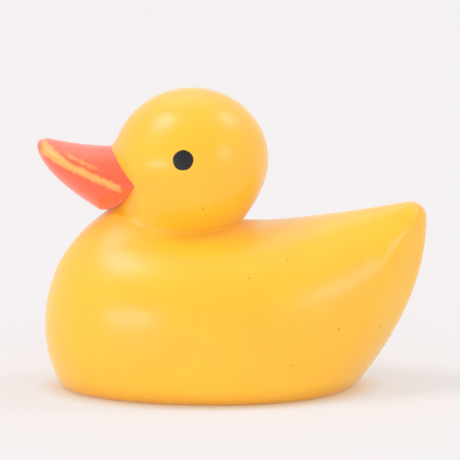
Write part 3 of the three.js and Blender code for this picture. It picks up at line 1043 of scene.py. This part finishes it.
@dataclass(frozen=True)
class BillPaint:
    """Coral paint on the bill, worn through to the vinyl along the side ridge."""

    coral: Colour = (0.950, 0.122, 0.048)
    orange: Colour = (0.970, 0.175, 0.035)
    worn: Colour = (0.970, 0.450, 0.090)
    mirror_tone: Colour = (1.0, 0.95, 1.0)
    roughness: float = 0.34
    roughness_size: float = 1.1
    roughness_spread: float = 0.16
    ragged_size: float = 1.2
    ragged_depth: float = 2.2
    stripe_tip: float = 1.55
    stripe_root: float = 0.85
    stripe_narrow: tuple[float, float] = (9.0, 2.0)
    stripe_rise: float = 1.1
    stripe_bend: float = 8.0
    stripe_fade: tuple[float, float] = (0.40, -0.45)
    stripe_strength: float = 0.92
    stripe_start: tuple[float, float] = (0.5, 1.8)
    stripe_end: tuple[float, float] = (20.6, 18.2)
    start_ragged: float = 0.6
    end_ragged: float = 1.6
    streak_rise: float = 2.1
    streak_half: float = 0.75
    streak_ragged: float = 1.3
    streak_start: tuple[float, float] = (6.0, 8.0)
    streak_end: tuple[float, float] = (15.5, 12.5)
    streak_strength: float = 0.6
    scuff_size: float = 0.8
    scuff_limits: tuple[float, float] = (0.52, 0.70)
    scuff_below: tuple[float, float] = (1.0, -1.0)
    scuff_start: tuple[float, float] = (1.0, 7.0)
    scuff_strength: float = 0.4
    orange_heights: tuple[float, float] = (49.5, 42.0)
    orange_share: float = 0.5
    cloud_size: float = 2.2
    cloud_limits: tuple[float, float] = (0.40, 0.75)
    cloud_share: float = 0.3
    grain_level: float = 0.2
    worn_level: float = 0.5
    relief: float = 0.4
    scatter_share: float = 0.6
    scatter_reach: Colour = (1.0, 0.35, 0.2)

    def wear(self, graph: Graph, places: Value, bill: Bill) -> Value:
        """How far the paint is gone, from the height above the ridge and the length behind the tip.

        Args:
            graph: the material's graph.
            places: object coordinates in millimetres.
            bill: sizes of the bill.

        Returns:
            The mask.
        """
        x = graph.node("ShaderNodeSeparateXYZ", None, {0: places})
        back = x - bill.tip_x
        rise = x.other("Z") - bill.tip_z + back * bill.ridge_fall
        ragged = (graph.noise(places, self.ragged_size, 5.0, 0.72) - 0.5) * self.ragged_depth
        half = self.stripe_root + (self.stripe_tip - self.stripe_root) * back.step(*self.stripe_narrow)
        middle = rise - back.step(self.stripe_bend, 0.0) * self.stripe_rise
        stripe = (abs(middle) + ragged - half).step(*self.stripe_fade) * self.stripe_strength
        stripe = stripe * (back + ragged * self.end_ragged).step(*self.stripe_end)
        stripe = stripe * (back + ragged * self.start_ragged).step(*self.stripe_start)
        off = abs(rise - self.streak_rise) + ragged * self.streak_ragged
        streak = off.step(self.streak_half, 0.0) * self.streak_strength
        streak = streak * back.step(*self.streak_start) * back.step(*self.streak_end)
        scuff = graph.noise(places, self.scuff_size, 4.0, 0.75).step(*self.scuff_limits) * self.scuff_strength
        scuff = scuff * rise.step(*self.scuff_below) * back.step(*self.scuff_start)
        return stripe.math("MAXIMUM", stripe, streak + scuff)

    def material(self, vinyl: VinylFinish, bill: Bill) -> bpy.types.Material:
        """Material of the painted bill.

        Args:
            vinyl: finish of the skin under the paint.
            bill: sizes of the bill.

        Returns:
            The material.
        """
        graph = Graph(bpy.data.materials.new("worn_coral_paint"))
        places = graph.places()
        wear = self.wear(graph, places, bill)
        height = graph.node("ShaderNodeSeparateXYZ", None, {0: places}, "Z")
        paint = graph.mix(height.step(*self.orange_heights) * self.orange_share, self.coral, self.orange)
        cloud = graph.noise(places, self.cloud_size, 3.0).step(*self.cloud_limits) * self.cloud_share
        paint = graph.mix(cloud, paint, self.orange)
        rough = self.roughness + (graph.noise(places, self.roughness_size, 3.0) - 0.5) * self.roughness_spread
        level = graph.noise(places, vinyl.grain) * self.grain_level - wear * self.worn_level
        bump = graph.bump(level, self.relief, vinyl.relief_depth)
        shader = graph.node(
            "ShaderNodeBsdfPrincipled",
            {"subsurface_method": "RANDOM_WALK"},
            {
                "Base Color": graph.mix(wear, paint, self.worn),
                "Roughness": rough,
                "Normal": bump,
                "IOR": vinyl.index,
                "Specular Tint": self.mirror_tone,
                "Sheen Weight": vinyl.bloom,
                "Sheen Roughness": vinyl.bloom_roughness,
                "Subsurface Weight": vinyl.subsurface * self.scatter_share,
                "Subsurface Radius": self.scatter_reach,
                "Subsurface Scale": vinyl.scatter * self.scatter_share,
            },
        )
        return graph.close(shader)


@dataclass(frozen=True)
class Lamp:
    """Soft box: an area lamp that faces the figure, or a card that only lights or only shines."""

    name: str
    way: Colour
    distance: float
    width: float
    height: float
    power: float
    mirrored: bool = True
    lights: bool = True

    def build(self, target: Vector) -> None:
        """Places the lamp on its way out from a target, turned to face it."""
        data = bpy.data.lights.new(self.name, "AREA")
        data.shape = "ELLIPSE"
        data.size = self.width * MM
        data.size_y = self.height * MM
        data.energy = self.power
        lamp = bpy.data.objects.new(self.name, data)
        lamp.visible_glossy = self.mirrored
        lamp.visible_diffuse = self.lights
        out = Vector(self.way).normalized()
        lamp.location = target + out * self.distance * MM
        lamp.rotation_euler = out.to_track_quat("Z", "Y").to_euler()
        bpy.context.scene.collection.objects.link(lamp)


@dataclass
class Studio:
    """Pale floor, soft light all round, soft boxes and the camera."""

    target: Colour = (-0.51, 0.0, 36.98)
    elevation: float = 10.0
    distance: float = 1000.0
    frame_width: float = 106.98
    floor_half: float = 6000.0
    floor_drop: float = 0.02
    floor_tone: Colour = (0.880, 0.855, 0.862)
    floor_cloud: Colour = (0.867, 0.842, 0.849)
    cloud_size: float = 400.0
    floor_roughness: float = 0.9
    floor_even: float = 0.48
    # Painted bounce light: an extra share of warm even tone seen round the base.
    bounce_glow_share: float = 0.25
    foot_x: float = -5.0
    foot_long: float = 34.0
    foot_wide: float = 24.0
    foot_fade: tuple[float, float] = (1.25, 0.95)
    even_tone: Colour = (0.87, 0.84, 0.84)
    # Colour of the painted bounce light round the base.
    bounce_glow_tone: Colour = (0.80, 0.52, 0.28)
    sky_tone: Colour = (1.0, 0.99, 0.993)
    sky_strength: float = 0.73
    seen_tone: Colour = (0.922, 0.888, 0.896)
    front_tone: Colour = (0.42, 0.41, 0.41)
    front_turn: tuple[float, float] = (-0.25, -0.80)
    clip_end: float = 100.0
    lamps: tuple[Lamp, ...] = (
        Lamp("left_soft_box", (-0.52, -0.12, 0.84), 5000.0, 2200.0, 2200.0, 68.0),
        Lamp("right_soft_box", (0.62, 0.15, 0.77), 5000.0, 1700.0, 1700.0, 33.0),
        Lamp("left_fill", (-0.64, -0.76, 0.07), 5000.0, 2800.0, 1600.0, 64.0),
        Lamp("right_fill", (0.75, -0.62, 0.23), 5000.0, 1500.0, 1300.0, 25.0),
        Lamp("top_card", (-0.05, 0.48, 0.87), 5000.0, 3600.0, 2600.0, 19.0, lights=False),
        Lamp("front_fill", (0.05, -0.95, 0.30), 5000.0, 5000.0, 5000.0, 15.0, mirrored=False),
    )

    def floor(self) -> bpy.types.Object:
        """Level square under the figure, with a matt pale material.

        A share of what is seen of it is an even tone. Round the base that share is larger and warmer, a
        painted glow of light bounced from the vinyl. The rest takes light and the figure's shadow.

        Returns:
            The floor's object.
        """
        side = np.array([-self.floor_half, self.floor_half])
        x, y = np.meshgrid(side, side, indexing="ij")
        points = np.stack([x, y, np.full_like(x, -self.floor_drop)], axis=-1).reshape(-1, 3) * MM
        mesh = bpy.data.meshes.new("floor")
        mesh.from_pydata(points.tolist(), [], [(0, 2, 3, 1)])
        graph = Graph(bpy.data.materials.new("pale_matt_floor"))
        places = graph.places()
        tone = graph.mix(graph.noise(places, self.cloud_size), self.floor_tone, self.floor_cloud)
        sockets = {"Base Color": tone, "Roughness": self.floor_roughness, "Specular IOR Level": 0.0}
        matt = graph.node("ShaderNodeBsdfPrincipled", None, sockets)
        x = graph.node("ShaderNodeSeparateXYZ", None, {0: places})
        along = (x - self.foot_x) * (1.0 / self.foot_long)
        across = x.other("Y") * (1.0 / self.foot_wide)
        away = (along * along + across * across) ** 0.5
        path = graph.node("ShaderNodeLightPath", output="Is Camera Ray")
        seen = path + path.other("Is Glossy Ray") + path.other("Is Transmission Ray")
        # Painted bounce light: foot is 1 round the base and fades out, and there the seen share is larger and
        # warmer.
        foot = away.step(*self.foot_fade)
        tone = graph.mix(foot, self.even_tone, self.bounce_glow_tone)
        even = graph.node("ShaderNodeEmission", None, {"Color": tone})
        share = seen * (foot * self.bounce_glow_share + self.floor_even)
        mesh.materials.append(graph.close(graph.either(share, matt, even)))
        return placed(mesh)

    def sky(self) -> None:
        """Even soft light from all round; it is seen pale, and reflected dimmer on the camera's side."""
        graph = Graph(bpy.data.worlds.new("soft_surround"))
        light = graph.node("ShaderNodeBackground", None, {0: self.sky_tone, 1: self.sky_strength})
        pale = graph.node("ShaderNodeBackground", None, {0: self.seen_tone})
        dim = graph.node("ShaderNodeBackground", None, {0: self.front_tone})
        way = graph.node("ShaderNodeTexCoord", output="Generated")
        depth = graph.node("ShaderNodeSeparateXYZ", None, {0: way}, "Y")
        path = graph.node("ShaderNodeLightPath", output="Is Camera Ray")
        glossy = path.other("Is Glossy Ray")
        seen = path + glossy + path.other("Is Transmission Ray")
        shown = graph.either(depth.step(*self.front_turn) * glossy, pale, dim)
        bpy.context.scene.world = graph.close(graph.either(seen, light, shown))

    def camera(self) -> None:
        """Camera at the photograph's height and framing, without depth of field."""
        data = bpy.data.cameras.new("camera")
        data.angle = 2.0 * math.atan(self.frame_width / 2.0 / self.distance)
        data.clip_end = self.clip_end
        camera = bpy.data.objects.new("camera", data)
        turn = math.radians(self.elevation)
        out = Vector((0.0, -math.cos(turn), math.sin(turn)))
        camera.location = (Vector(self.target) + out * self.distance) * MM
        camera.rotation_euler = out.to_track_quat("Z", "Y").to_euler()
        bpy.context.scene.collection.objects.link(camera)
        bpy.context.scene.camera = camera

    def build(self) -> bpy.types.Object:
        """Makes the floor, the light and the camera.

        Returns:
            The floor's object.
        """
        bpy.context.scene.view_settings.view_transform = "Standard"
        self.sky()
        for lamp in self.lamps:
            lamp.build(Vector(self.target) * MM)
        self.camera()
        return self.floor()


def corners(box: tuple) -> list[list[float]]:
    """Lowest and highest corner of a box as plain numbers."""
    return [[float(part) for part in corner] for corner in box]


def main() -> None:
    """Builds and dresses the figure, then the studio."""
    logging.basicConfig(level=logging.INFO, format="%(name)s: %(message)s")
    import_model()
    figure = Duck()
    duck = figure.build()
    figure.dress(duck, VinylFinish(), EyePaint(), BillPaint())
    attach(duck, BODY_NAME)
    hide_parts(NODE_NAME)
    LOG.info("%s has %d faces", duck.name, len(duck.data.polygons))
    Studio().build()
    LOG.info("studio is set")


if __name__ == "__main__":
    main()
